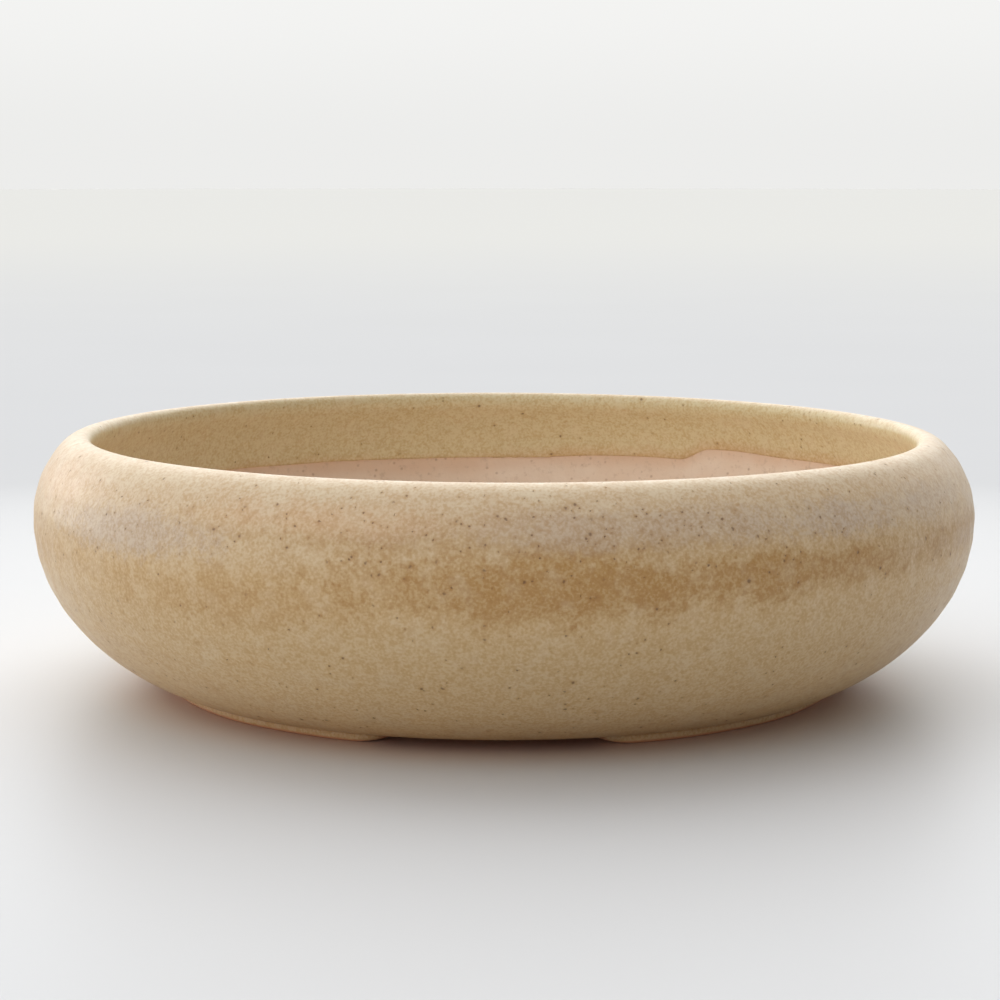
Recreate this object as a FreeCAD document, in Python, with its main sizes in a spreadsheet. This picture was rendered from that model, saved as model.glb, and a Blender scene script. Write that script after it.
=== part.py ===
# Round bonsai pot of glazed stoneware: a shallow bowl with a turned-in rim, three feet luted under it,
# a coat of glaze, and the plastic screens and wire clips that keep the soil above the drain holes.
# Millimetres, +Z up. The origin is the centre of the circle that the feet stand on.
import FreeCAD, Part
import Sketcher
import math
import os
from types import SimpleNamespace
from FreeCAD import Placement, Rotation, Vector

SIZES = {
    # the finished pot, glaze included
    "body_width": 160.0,
    "body_height": 43.0,
    "shoulder_height": 13.4,  # from the widest point, and the glaze line inside, up to the rim
    "rim_turn_in": 9.85,  # from the widest point in to the mouth
    "base_inset": 21.6,  # from the widest point in to the edge of the base
    "base_rise": 1.6,  # of the base above the table, which is also how thick a foot is
    # the curves of the wall
    "belly_turn": 36.5,  # degrees below the widest point at which the flatter lower belly starts
    "base_slope": 20.95,  # degrees up from level at which the wall leaves the base
    "lip_radius": 5.0,
    "rim_edge_radius": 1.5,
    "under_lip_radius": 3.0,
    "wall": 5.6,
    # the floor
    "recess_depth": 1.9,  # of the hollow turned out inside the base ring
    "base_ring": 10.5,  # breadth of the ring that the feet are luted to
    "floor_thickness": 4.5,
    "floor_fillet": 9.0,
    "glaze": 0.35,
    # the feet
    "foot_inset": 1.2,  # from the edge of the base in to a foot
    "foot_breadth": 8.0,
    "foot_gap": 35.0,  # degrees from one foot to the next
    "foot_edge": 0.5,
    # the holes in the floor
    "drain_radius": 7.0,
    "drain_circle": 24.0,  # from the middle of the pot to the middle of a hole
    # a screen
    "strand": 0.9,
    "mesh_pitch": 2.9,
    "screen_thickness": 1.1,
    # a clip
    "wire": 1.2,
    "loop_reach": 7.0,  # from the middle of the clip to the centre of a loop
    "leg_reach": 8.5,  # how far a leg runs out under the floor
    "leg_bend": 1.4,
    "clip_play": 0.1,  # between the wire and the floor or screen that it holds
}
# Sizes that follow from those above. The belly is the arc that, with the flatter one under it, reaches
# from the widest point to the edge of the base: one equation across and one up give both radii.
LESS_STEEP = "( cos( base_slope * 1deg ) - sin( belly_turn * 1deg ) )"
LESS_FLAT = "( cos( belly_turn * 1deg ) - sin( base_slope * 1deg ) )"
FOLLOWING = {
    "widest_height": "body_height - shoulder_height",
    "belly_radius": f"( base_inset * {LESS_STEEP} - ( body_height - shoulder_height - base_rise ) * {LESS_FLAT} ) "
    f"/ ( ( 1 - cos( belly_turn * 1deg ) ) * {LESS_STEEP} - sin( belly_turn * 1deg ) * {LESS_FLAT} )",
}
STRANDS = 9  # each way in a screen
FEET = 3  # and as many drain holes, one at each gap
FRONT = -90.0  # degrees from +X round to the front of the pot, where one of the gaps is

# Heights above the table, and the distance of a clip's leg from both centre lines of its drain hole: the
# furthest opening of the net that leaves the leg inside the hole.
FLOOR = "base_rise + recess_depth + floor_thickness"
TOP_OF_CLIP = FLOOR + " + screen_thickness + clip_play + wire / 2"
UNDER_FLOOR = "base_rise + recess_depth - clip_play - wire / 2"
ROOM = "( drain_radius - wire / 2 - clip_play ) / sqrt( 2 )"
LEG = f"( floor( {ROOM} / mesh_pitch - 0.5 ) + 0.5 ) * mesh_pitch"


def make_sheet(doc):
    """Puts the sizes in a spreadsheet that drives every sketch, and returns their values."""
    sheet = doc.addObject("Spreadsheet::Sheet", "sizes")
    rows = list(SIZES.items()) + [(name, f"={formula}") for name, formula in FOLLOWING.items()]
    for row, (name, value) in enumerate(rows, start=1):
        sheet.set(f"A{row}", name)
        sheet.set(f"B{row}", str(value))
        sheet.setAlias(f"B{row}", name)
    doc.recompute()
    return SimpleNamespace(**{name: float(sheet.get(name)) for name, _ in rows})


def in_sheet(formula):
    """The formula with every size in it looked up in the sheet."""
    words = [f"sizes.{word}" if word in SIZES or word in FOLLOWING else word for word in formula.split()]
    return " ".join(words)


def drive(thing, what, formula):
    thing.setExpression(what, in_sheet(formula))


def origin_plane(body, role):
    return next(feature for feature in body.Origin.OriginFeatures if feature.Role == role)


def new_sketch(body, name, role, offset=None):
    """A sketch on one of the body's own planes, or offset from it by a formula."""
    sketch = body.newObject("Sketcher::SketchObject", name)
    sketch.AttachmentSupport = (origin_plane(body, role), [""])
    sketch.MapMode = "FlatFace"
    if offset:
        drive(sketch, "AttachmentOffset.Base.z", offset)
    return sketch


def dimension(sketch, name, kind, where, formula, start):
    """A dimension that the sheet drives. start is what it measures as drawn."""
    index = sketch.addConstraint(Sketcher.Constraint(kind, *where, start))
    sketch.renameConstraint(index, name)
    drive(sketch, f"Constraints.{name}", formula)


def at(sketch, name, vertex, across=None, up=None):
    """Places a vertex by formulas for its distances from the sketch's origin, which are positive."""
    point = sketch.getPoint(*vertex)
    if across:
        dimension(sketch, f"{name}_across", "DistanceX", (-1, 1, *vertex), across, point.x)
    if up:
        dimension(sketch, f"{name}_up", "DistanceY", (-1, 1, *vertex), up, point.y)


def relate(sketch, kind, first, second):
    sketch.addConstraint(Sketcher.Constraint(kind, *first, *second))


class Arc:
    """Part of a circle in a sketch, with begin and end in the order that the outline is walked."""

    def __init__(self, sketch, middle, radius, begin_angle, end_angle):
        self.at, self.radius, self.end_angle = middle, radius, end_angle
        low, high = sorted((begin_angle, end_angle))
        circle = Part.Circle(Vector(*middle, 0), Vector(0, 0, 1), radius)
        curve = Part.ArcOfCircle(circle, math.radians(low), math.radians(high))
        self.index = sketch.addGeometry(curve, False)
        self.begin = (self.index, 1 if begin_angle < end_angle else 2)
        self.end = (self.index, 2 if begin_angle < end_angle else 1)
        self.middle = (self.index, 3)

    def sized(self, sketch, name, formula):
        dimension(sketch, name, "Radius", (self.index,), formula, self.radius)


def add_line(sketch, start, finish):
    """A straight side. Returns its two vertices."""
    index = sketch.addGeometry(Part.LineSegment(Vector(*start, 0), Vector(*finish, 0)), False)
    return (index, 1), (index, 2)


def degrees_to(middle, point):
    return math.degrees(math.atan2(point[1] - middle[1], point[0] - middle[0]))


def wall_arcs(sketch, s, name, coated):
    """The section of the wall from the edge of the base, up the outside, over the rim and down inside to
    the widest height: seven arcs, each tangent to the next. coated is True for the clay under the glaze,
    and False for the glaze's own surface."""
    less, more = (" - glaze", " + glaze") if coated else ("", "")
    depth = s.glaze if coated else 0.0
    half, rise = s.body_width / 2, s.widest_height

    # the belly, and the flatter arc under it that reaches the edge of the base
    belly = s.belly_radius - depth
    belly_middle = (half - s.belly_radius, rise)
    turn = math.radians(s.belly_turn)
    low = (belly_middle[0] + belly * math.cos(turn), rise - belly * math.sin(turn))
    edge = (half - s.base_inset - 2 * depth, s.base_rise)
    step = (edge[0] - low[0], edge[1] - low[1])
    toward_middle = step[1] * math.sin(turn) - step[0] * math.cos(turn)
    lower = (step[0] ** 2 + step[1] ** 2) / (2 * toward_middle)
    lower_middle = (low[0] - lower * math.cos(turn), low[1] + lower * math.sin(turn))

    # the lip, and the shoulder that swings from the widest point to it
    lip, rim = s.lip_radius - depth, s.rim_edge_radius - depth
    lip_middle = (half - s.rim_turn_in + s.rim_edge_radius, s.body_height - s.lip_radius)
    rim_middle = (lip_middle[0], s.body_height - s.rim_edge_radius)
    across, up = half - depth - lip_middle[0], lip_middle[1] - rise
    shoulder = (across**2 + up**2 - lip**2) / (2 * (across - lip))
    shoulder_middle = (half - depth - shoulder, rise)
    meet = degrees_to(shoulder_middle, lip_middle)

    # the underside of the lip, and the hollow of the shoulder inside
    under = s.under_lip_radius - depth
    under_middle = (rim_middle[0] - rim + under, rim_middle[1])
    inner = half - s.wall + depth
    across, up = under_middle[0] - inner, under_middle[1] - rise
    hollow = (across**2 + up**2 - under**2) / (2 * (under - across))
    hollow_middle = (inner - hollow, rise)
    bend = degrees_to(hollow_middle, under_middle)

    arcs = [
        Arc(sketch, lower_middle, lower, degrees_to(lower_middle, edge), -s.belly_turn),
        Arc(sketch, belly_middle, belly, -s.belly_turn, 0),
        Arc(sketch, shoulder_middle, shoulder, 0, meet),
        Arc(sketch, lip_middle, lip, meet, 90),
        Arc(sketch, rim_middle, rim, 90, 180),
        Arc(sketch, under_middle, under, 180, 180 + bend),
        Arc(sketch, hollow_middle, hollow, bend, 0),
    ]
    for before, after in zip(arcs, arcs[1:]):
        relate(sketch, "Tangent", before.end, after.begin)
    lower_arc, belly_arc, shoulder_arc, lip_arc, rim_arc, under_arc, hollow_arc = arcs
    base_edge = "body_width / 2 - base_inset" + (" - 2 * glaze" if coated else "")
    at(sketch, f"{name}_base_edge", lower_arc.begin, base_edge, "base_rise")
    at(sketch, f"{name}_widest", belly_arc.end, "body_width / 2" + less, "widest_height")
    relate(sketch, "Horizontal", belly_arc.middle, belly_arc.end)
    belly_arc.sized(sketch, f"{name}_belly", "belly_radius" + less)
    drop = f"widest_height - ( belly_radius{less} ) * sin( belly_turn * 1deg )"
    at(sketch, f"{name}_belly_start", belly_arc.begin, up=drop)
    lip_arc.sized(sketch, f"{name}_lip", "lip_radius" + less)
    at(sketch, f"{name}_top", lip_arc.end, up="body_height" + less)
    relate(sketch, "Vertical", lip_arc.middle, lip_arc.end)
    rim_arc.sized(sketch, f"{name}_rim", "rim_edge_radius" + less)
    at(sketch, f"{name}_mouth", rim_arc.end, "body_width / 2 - rim_turn_in" + more)
    relate(sketch, "Horizontal", rim_arc.middle, rim_arc.end)
    under_arc.sized(sketch, f"{name}_under_lip", "under_lip_radius" + less)
    at(sketch, f"{name}_inside", hollow_arc.end, "body_width / 2 - wall" + more, "widest_height")
    return arcs


def bowl_section(body, s):
    """Half of the clay bowl's section: its wall, then the inside down to the floor, the axis, the hollow
    under the floor and the ring that the feet are luted to."""
    sketch = new_sketch(body, "half_section", "XZ_Plane")
    walls = wall_arcs(sketch, s, "clay", True)
    lower_arc, belly_arc, hollow_arc = walls[0], walls[1], walls[-1]
    clay = s.wall - 2 * s.glaze
    floor = s.base_rise + s.recess_depth + s.floor_thickness

    inner_belly = Arc(sketch, belly_arc.at, belly_arc.radius - clay, 0, -s.belly_turn)
    inner_radius = lower_arc.radius - clay
    up = floor + s.floor_fillet - lower_arc.at[1]
    across = math.sqrt((inner_radius - s.floor_fillet) ** 2 - up**2)
    fillet_middle = (lower_arc.at[0] + across, floor + s.floor_fillet)
    leave = math.degrees(math.atan2(up, across))
    inner_lower = Arc(sketch, lower_arc.at, inner_radius, -s.belly_turn, leave)
    fillet = Arc(sketch, fillet_middle, s.floor_fillet, leave, -90)
    relate(sketch, "Tangent", hollow_arc.end, inner_belly.begin)
    relate(sketch, "Tangent", inner_belly.end, inner_lower.begin)
    relate(sketch, "Tangent", inner_lower.end, fillet.begin)
    relate(sketch, "Coincident", inner_belly.middle, belly_arc.middle)
    relate(sketch, "Coincident", inner_lower.middle, lower_arc.middle)
    fillet.sized(sketch, "floor_fillet", "floor_fillet")
    relate(sketch, "Vertical", fillet.middle, fillet.end)

    ceiling = s.base_rise + s.recess_depth
    base_edge = s.body_width / 2 - s.base_inset - 2 * s.glaze
    corners = [
        (fillet_middle[0], floor),
        (0, floor),
        (0, ceiling),
        (base_edge - s.base_ring, ceiling),
        (base_edge - s.base_ring, s.base_rise),
        (base_edge, s.base_rise),
    ]
    sides = [add_line(sketch, a, b) for a, b in zip(corners, corners[1:])]
    joints = [fillet.end] + [vertex for side in sides for vertex in side] + [lower_arc.begin]
    for before, after in zip(joints[::2], joints[1::2]):
        relate(sketch, "Coincident", before, after)
    for side, kind in zip(sides, ("Horizontal", "Vertical", "Horizontal", "Vertical", "Horizontal")):
        sketch.addConstraint(Sketcher.Constraint(kind, side[0][0]))
    sketch.addConstraint(Sketcher.Constraint("PointOnObject", *sides[1][0], -2))
    at(sketch, "floor", sides[1][0], up="base_rise + recess_depth + floor_thickness")
    ring = "body_width / 2 - base_inset - 2 * glaze - base_ring"
    at(sketch, "recess", sides[2][1], ring, "base_rise + recess_depth")
    return sketch


def revolve(body, sketch, name):
    turned = body.newObject("PartDesign::Revolution", name)
    turned.Profile = sketch
    turned.ReferenceAxis = (sketch, ["V_Axis"])
    turned.Angle = 360.0
    sketch.Visibility = False
    return turned


def make_clay_bowl(doc, s):
    """The thrown bowl, with its drain holes cut down through the floor."""
    body = doc.addObject("PartDesign::Body", "clay_bowl")
    revolve(body, bowl_section(body, s), "thrown_bowl")
    sketch = new_sketch(body, "drain_hole_outline", "XY_Plane")
    middle = Vector(0, -s.drain_circle, 0)
    hole = sketch.addGeometry(Part.Circle(middle, Vector(0, 0, 1), s.drain_radius), False)
    dimension(sketch, "radius", "Radius", (hole,), "drain_radius", s.drain_radius)
    dimension(sketch, "circle", "DistanceY", (hole, 3, -1, 1), "drain_circle", s.drain_circle)
    sketch.addConstraint(Sketcher.Constraint("PointOnObject", hole, 3, -2))
    cut = body.newObject("PartDesign::Pocket", "drain_hole")
    cut.Profile = sketch
    cut.Type = "ThroughAll"
    cut.Midplane = True
    ring = body.newObject("PartDesign::PolarPattern", "drain_holes")
    ring.Originals = [cut]
    ring.Axis = (sketch, ["N_Axis"])
    ring.Angle = 360.0
    ring.Occurrences = FEET
    body.Tip = ring
    sketch.Visibility = False
    return body


def make_glaze_coat(doc, s):
    """The glaze, from the edge of the base up over the rim to the widest height inside."""
    body = doc.addObject("PartDesign::Body", "glaze_coat")
    sketch = new_sketch(body, "half_section", "XZ_Plane")
    skin = wall_arcs(sketch, s, "skin", False)
    clay = wall_arcs(sketch, s, "clay", True)
    for hollow in (skin[-1], clay[-1]):
        relate(sketch, "Horizontal", hollow.middle, hollow.end)
    for outer, inner in ((skin[0].begin, clay[0].begin), (skin[-1].end, clay[-1].end)):
        ends = [sketch.getPoint(*outer), sketch.getPoint(*inner)]
        side = add_line(sketch, (ends[0].x, ends[0].y), (ends[1].x, ends[1].y))
        relate(sketch, "Coincident", side[0], outer)
        relate(sketch, "Coincident", side[1], inner)
    revolve(body, sketch, "coat")
    return body


def face_at(shape, height):
    """The name of the flat face that lies at this height."""
    for number, face in enumerate(shape.Faces, start=1):
        box = face.BoundBox
        if abs(box.ZMin - height) < 1e-6 and abs(box.ZMax - height) < 1e-6:
            return f"Face{number}"
    raise ValueError(f"no face at {height}")


def make_foot(doc, s, name, angle):
    """A strip of clay bent to the base ring, with round ends and a softened lower edge."""
    body = doc.addObject("PartDesign::Body", name)
    sketch = new_sketch(body, "plan", "XY_Plane")
    outer = s.body_width / 2 - s.base_inset - s.foot_inset
    inner, end = outer - s.foot_breadth, s.foot_breadth / 2
    tip = math.degrees(math.asin(end / (outer - end)))
    half_turn = 180 / FEET - s.foot_gap / 2 - tip
    away = math.radians(half_turn)
    low_end = ((outer - end) * math.cos(away), -(outer - end) * math.sin(away))
    high_end = (low_end[0], -low_end[1])
    arcs = [
        Arc(sketch, (0, 0), outer, -half_turn, half_turn),
        Arc(sketch, high_end, end, half_turn, half_turn + 180),
        Arc(sketch, (0, 0), inner, half_turn, -half_turn),
        Arc(sketch, low_end, end, 180 - half_turn, 360 - half_turn),
    ]
    for before, after in zip(arcs, arcs[1:] + arcs[:1]):
        relate(sketch, "Tangent", before.end, after.begin)
    for arc in (arcs[0], arcs[2]):
        relate(sketch, "Coincident", arc.middle, (-1, 1))
    arcs[0].sized(sketch, "outer", "body_width / 2 - base_inset - foot_inset")
    arcs[2].sized(sketch, "inner", "body_width / 2 - base_inset - foot_inset - foot_breadth")
    relate(sketch, "Vertical", arcs[1].middle, arcs[3].middle)
    middle_circle = "( body_width / 2 - base_inset - foot_inset - foot_breadth / 2 )"
    turn = f"( 180deg / {FEET} - foot_gap * 1deg / 2 - asin( foot_breadth / 2 / {middle_circle} ) )"
    at(sketch, "end", arcs[1].middle, up=f"{middle_circle} * sin{turn}")
    strip = body.newObject("PartDesign::Pad", "strip")
    strip.Profile = sketch
    drive(strip, "Length", "base_rise")
    doc.recompute()
    softened = body.newObject("PartDesign::Fillet", "softened_edge")
    softened.Base = (strip, [face_at(strip.Shape, 0.0)])
    drive(softened, "Radius", "foot_edge")
    body.Tip = softened
    sketch.Visibility = False
    body.Placement = Placement(Vector(0, 0, 0), Rotation(Vector(0, 0, 1), angle))
    return body


def rectangle(sketch, across, up):
    """A rectangle with its sides level and upright. across and up hold its two ends as drawn. Returns its
    lower left and upper right vertices."""
    corners = [(across[0], up[0]), (across[1], up[0]), (across[1], up[1]), (across[0], up[1])]
    sides = [add_line(sketch, a, b) for a, b in zip(corners, corners[1:] + corners[:1])]
    for side, after, kind in zip(sides, sides[1:] + sides[:1], ("Horizontal", "Vertical") * 2):
        relate(sketch, "Coincident", side[1], after[0])
        sketch.addConstraint(Sketcher.Constraint(kind, side[0][0]))
    return sides[0][0], sides[2][0]


def over_drain(body, angle):
    """Stands a body built round the origin over the drain hole at this angle."""
    body.Placement = Placement(Vector(0, 0, 0), Rotation(Vector(0, 0, 1), angle + 90))
    drive(body, "Placement.Base.x", f"drain_circle * cos( {angle} * 1deg )")
    drive(body, "Placement.Base.y", f"drain_circle * sin( {angle} * 1deg )")


def make_screen(doc, s, name, angle):
    """A square of moulded plastic net that lies on the floor over a drain hole."""
    body = doc.addObject("PartDesign::Body", name)
    side = f"( {STRANDS - 1} * mesh_pitch + strand )"
    half = ((STRANDS - 1) * s.mesh_pitch + s.strand) / 2
    sketch = new_sketch(body, "net_outline", "XY_Plane", FLOOR)
    low, high = rectangle(sketch, (-half, half), (-half, half))
    sketch.addConstraint(Sketcher.Constraint("Symmetric", *low, *high, -1, 1))
    at(sketch, "corner", high, f"{side} / 2", f"{side} / 2")
    net = body.newObject("PartDesign::Pad", "net")
    net.Profile = sketch
    drive(net, "Length", "screen_thickness")
    opening = new_sketch(body, "opening", "XY_Plane", FLOOR)
    reach = (half - s.strand - (s.mesh_pitch - s.strand), half - s.strand)
    low, high = rectangle(opening, reach, reach)
    inner_corner = f"{side} / 2 - mesh_pitch"
    at(opening, "near", low, inner_corner, inner_corner)
    at(opening, "far", high, f"{side} / 2 - strand", f"{side} / 2 - strand")
    cut = body.newObject("PartDesign::Pocket", "openings")
    cut.Profile = opening
    cut.Type = "ThroughAll"
    cut.Midplane = True
    grid = body.newObject("PartDesign::MultiTransform", "mesh")
    rows = []
    for axis in ("H_Axis", "V_Axis"):
        row = body.newObject("PartDesign::LinearPattern", f"{name}_{axis[0].lower()}_row")
        row.Direction = (opening, [axis])
        row.Reversed = True
        row.Occurrences = STRANDS - 1
        drive(row, "Length", f"{STRANDS - 2} * mesh_pitch")
        rows.append(row)
    grid.Originals = [cut]
    grid.Transformations = rows
    body.Tip = grid
    for used in (sketch, opening):
        used.Visibility = False
    over_drain(body, angle)
    return body


def loops_path(body, s, radius):
    """The part of a clip that lies on its screen: from the top of one loop round it, across the middle of
    the clip, and round the other loop to its lowest point. Turned half round, it is the same."""
    sketch = new_sketch(body, "loops_path", "XY_Plane", TOP_OF_CLIP)
    reach = s.loop_reach
    slant = math.degrees(math.asin(radius / reach))
    right = Arc(sketch, (reach, 0), radius, 90, -90 - slant)
    left = Arc(sketch, (-reach, 0), radius, 90 - slant, 270)
    turn = math.radians(slant)
    touch = (reach - radius * math.sin(turn), -radius * math.cos(turn))
    start, finish = add_line(sketch, touch, (-touch[0], -touch[1]))
    relate(sketch, "Tangent", right.end, start)
    relate(sketch, "Tangent", finish, left.begin)
    right.sized(sketch, "right_loop", LEG)
    left.sized(sketch, "left_loop", LEG)
    sketch.addConstraint(Sketcher.Constraint("PointOnObject", *right.middle, -1))
    sketch.addConstraint(Sketcher.Constraint("Symmetric", *right.middle, *left.middle, -1, 1))
    at(sketch, "loop", right.middle, "loop_reach")
    relate(sketch, "Vertical", right.begin, right.middle)
    relate(sketch, "Vertical", left.end, left.middle)
    return sketch


def leg_path(body, s, leg, top, low):
    """A leg of a clip: in from the top of its loop, down through the screen and the hole, and out again
    under the floor. leg, top and low are its distance from the centre line and its heights as drawn."""
    sketch = new_sketch(body, "leg_path", "XZ_Plane", f"-1 * {LEG}")
    bend, end = s.leg_bend, leg + s.leg_reach
    run = add_line(sketch, (s.loop_reach, top), (leg + bend, top))
    upper = Arc(sketch, (leg + bend, top - bend), bend, 90, 180)
    drop = add_line(sketch, (leg, top - bend), (leg, low + bend))
    lower = Arc(sketch, (leg + bend, low + bend), bend, 180, 270)
    foot = add_line(sketch, (leg + bend, low), (end, low))
    relate(sketch, "Tangent", run[1], upper.begin)
    relate(sketch, "Tangent", upper.end, drop[0])
    relate(sketch, "Tangent", drop[1], lower.begin)
    relate(sketch, "Tangent", lower.end, foot[0])
    sketch.addConstraint(Sketcher.Constraint("Vertical", drop[0][0]))
    sketch.addConstraint(Sketcher.Constraint("Horizontal", run[0][0]))
    sketch.addConstraint(Sketcher.Constraint("Horizontal", foot[0][0]))
    upper.sized(sketch, "upper_bend", "leg_bend")
    lower.sized(sketch, "lower_bend", "leg_bend")
    at(sketch, "start", run[0], "loop_reach", TOP_OF_CLIP)
    at(sketch, "leg", drop[0], LEG)
    at(sketch, "end", foot[1], f"{LEG} + leg_reach", UNDER_FLOOR)
    return sketch


def pipe(body, name, profile, spine):
    swept = body.newObject("PartDesign::AdditivePipe", name)
    swept.Profile = profile
    swept.Spine = (spine, [f"Edge{n}" for n in range(1, spine.GeometryCount + 1)])
    return swept


def make_clip(doc, s, name, angle):
    """A length of soft wire bent into two loops that hold the screen down, with a leg at each end."""
    body = doc.addObject("PartDesign::Body", name)
    low = s.base_rise + s.recess_depth - s.clip_play - s.wire / 2
    top = low + s.floor_thickness + s.screen_thickness + 2 * s.clip_play + s.wire
    room = (s.drain_radius - s.wire / 2 - s.clip_play) / math.sqrt(2)
    leg = (math.floor(room / s.mesh_pitch - 0.5) + 0.5) * s.mesh_pitch
    section = new_sketch(body, "wire_section", "YZ_Plane", "loop_reach")
    middle = Vector(leg, top, 0)
    wire = section.addGeometry(Part.Circle(middle, Vector(0, 0, 1), s.wire / 2), False)
    dimension(section, "wire", "Radius", (wire,), "wire / 2", s.wire / 2)
    at(section, "middle", (wire, 3), LEG, TOP_OF_CLIP)
    loops = loops_path(body, s, leg)
    down = leg_path(body, s, leg, top, low)
    doc.recompute()
    pipe(body, "loops", section, loops)
    one_leg = pipe(body, "leg", section, down)
    pair = body.newObject("PartDesign::PolarPattern", "legs")
    pair.Originals = [one_leg]
    pair.Axis = (loops, ["N_Axis"])
    pair.Angle = 360.0
    pair.Occurrences = 2
    body.Tip = pair
    for used in (section, loops, down):
        used.Visibility = False
    over_drain(body, angle)
    return body


def check(doc, bodies):
    """Stops the build if anything failed to compute, or a hole or a coat isn't where it should be."""
    doc.recompute()
    for thing in doc.Objects:
        if {"Invalid", "Error"} & set(thing.State):
            raise RuntimeError(f"{thing.Name}: {thing.State}")
    for sketch in doc.findObjects("Sketcher::SketchObject"):
        if sketch.solve() != 0:
            raise RuntimeError(f"{sketch.Name} doesn't solve")
    for body in bodies:
        shape = body.Shape
        if shape.isNull() or not shape.isValid() or len(shape.Solids) != 1:
            raise RuntimeError(f"{body.Label} isn't one sound solid")
        box = shape.optimalBoundingBox()
        print(f"{body.Label}: {shape.Volume:.1f} mm3, z {box.ZMin:.2f} to {box.ZMax:.2f}")


def check_holes(bowl, s):
    before = bowl.getObject("thrown_bowl").Shape.Volume
    holes = FEET * math.pi * s.drain_radius**2 * s.floor_thickness
    if abs(before - bowl.Shape.Volume - holes) > 0.5:
        raise RuntimeError(f"the holes took {before - bowl.Shape.Volume:.1f} mm3 out of the floor")


def main():
    doc = FreeCAD.newDocument("bonsai_pot")
    s = make_sheet(doc)
    bowl = make_clay_bowl(doc, s)
    bodies = [bowl, make_glaze_coat(doc, s)]
    for number in range(1, FEET + 1):
        drain_angle = FRONT + (number - 1) * 360 / FEET
        bodies.append(make_foot(doc, s, f"foot_{number}", drain_angle + 180 / FEET))
        bodies.append(make_screen(doc, s, f"drain_screen_{number}", drain_angle))
        bodies.append(make_clip(doc, s, f"screen_clip_{number}", drain_angle))
    check(doc, bodies)
    check_holes(bowl, s)
    os.makedirs("parts", exist_ok=True)
    for body in bodies:
        body.Shape.exportStep(f"parts/{body.Label}.step")
    print(f"wrote {len(bodies)} parts")


main()
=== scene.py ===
# A round glazed bonsai pot, dressed round its CAD frame
import math

import bmesh
import bpy
import numpy as np
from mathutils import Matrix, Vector


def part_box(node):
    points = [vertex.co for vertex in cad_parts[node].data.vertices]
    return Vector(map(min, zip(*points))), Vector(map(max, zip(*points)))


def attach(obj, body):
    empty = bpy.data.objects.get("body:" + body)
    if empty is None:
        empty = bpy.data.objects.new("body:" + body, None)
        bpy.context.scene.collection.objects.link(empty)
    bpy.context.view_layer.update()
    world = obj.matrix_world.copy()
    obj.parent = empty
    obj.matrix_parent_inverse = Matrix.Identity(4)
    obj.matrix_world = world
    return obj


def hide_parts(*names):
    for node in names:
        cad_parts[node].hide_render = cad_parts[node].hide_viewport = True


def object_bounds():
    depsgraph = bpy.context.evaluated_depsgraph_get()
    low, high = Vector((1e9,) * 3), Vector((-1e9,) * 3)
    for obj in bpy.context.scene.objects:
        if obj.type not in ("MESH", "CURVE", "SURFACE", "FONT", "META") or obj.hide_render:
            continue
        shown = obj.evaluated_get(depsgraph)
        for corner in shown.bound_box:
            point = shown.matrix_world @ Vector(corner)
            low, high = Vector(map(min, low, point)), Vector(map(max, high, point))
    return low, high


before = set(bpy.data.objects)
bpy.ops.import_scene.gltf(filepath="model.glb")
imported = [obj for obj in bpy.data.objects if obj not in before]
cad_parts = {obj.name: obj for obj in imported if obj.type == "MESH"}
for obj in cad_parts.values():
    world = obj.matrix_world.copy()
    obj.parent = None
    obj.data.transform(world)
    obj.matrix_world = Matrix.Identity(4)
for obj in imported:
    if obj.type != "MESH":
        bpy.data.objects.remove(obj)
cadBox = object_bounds()
mm = 0.001


def boxOf(node):
    # the low and the high corner of a CAD node, in millimetres
    return [[value / mm for value in corner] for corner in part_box(node)]


footBox = boxOf("foot_1")
screenBox = boxOf("drain_screen_1")


def smoothStep(x, low, high):
    # 0 below low, 1 above high, and 3t^2 - 2t^3 between
    t = np.clip((x - low) / (high - low), 0, 1)
    return t * t * (3 - 2 * t)


def gridFaces(rows, columns, closedRows=False, closedColumns=False):
    # quads that join neighbours on a rows x columns grid of vertices, wrapping round where closed
    lastRow = rows if closedRows else rows - 1
    lastColumn = columns if closedColumns else columns - 1
    i, j = np.meshgrid(np.arange(lastRow), np.arange(lastColumn), indexing="ij")
    i, j = i.ravel(), j.ravel()
    iNext, jNext = (i + 1) % rows, (j + 1) % columns
    return np.stack([i * columns + j, i * columns + jNext, iNext * columns + jNext, iNext * columns + j], 1)


def makeObject(name, points, faces, material, attributes=None):
    # points in millimetres, faces as rows of four vertex numbers
    mesh = bpy.data.meshes.new(name)
    mesh.vertices.add(len(points))
    mesh.vertices.foreach_set("co", (np.asarray(points) * mm).astype(np.float32).ravel())
    mesh.loops.add(faces.size)
    mesh.loops.foreach_set("vertex_index", faces.astype(np.int32).ravel())
    mesh.polygons.add(len(faces))
    mesh.polygons.foreach_set("loop_start", np.arange(0, faces.size, 4, dtype=np.int32))
    mesh.polygons.foreach_set("use_smooth", np.ones(len(faces), bool))
    mesh.update(calc_edges=True)
    for label, values in (attributes or {}).items():
        layer = mesh.attributes.new(label, "FLOAT", "POINT")
        layer.data.foreach_set("value", np.asarray(values, np.float32).ravel())
    work = bmesh.new()
    work.from_mesh(mesh)
    bmesh.ops.remove_doubles(work, verts=work.verts, dist=0.004 * mm)
    bmesh.ops.dissolve_degenerate(work, dist=0.001 * mm, edges=work.edges)
    bmesh.ops.recalc_face_normals(work, faces=work.faces)
    work.to_mesh(mesh)
    work.free()
    mesh.materials.append(material)
    piece = bpy.data.objects.new(name, mesh)
    bpy.context.scene.collection.objects.link(piece)
    return piece


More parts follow.
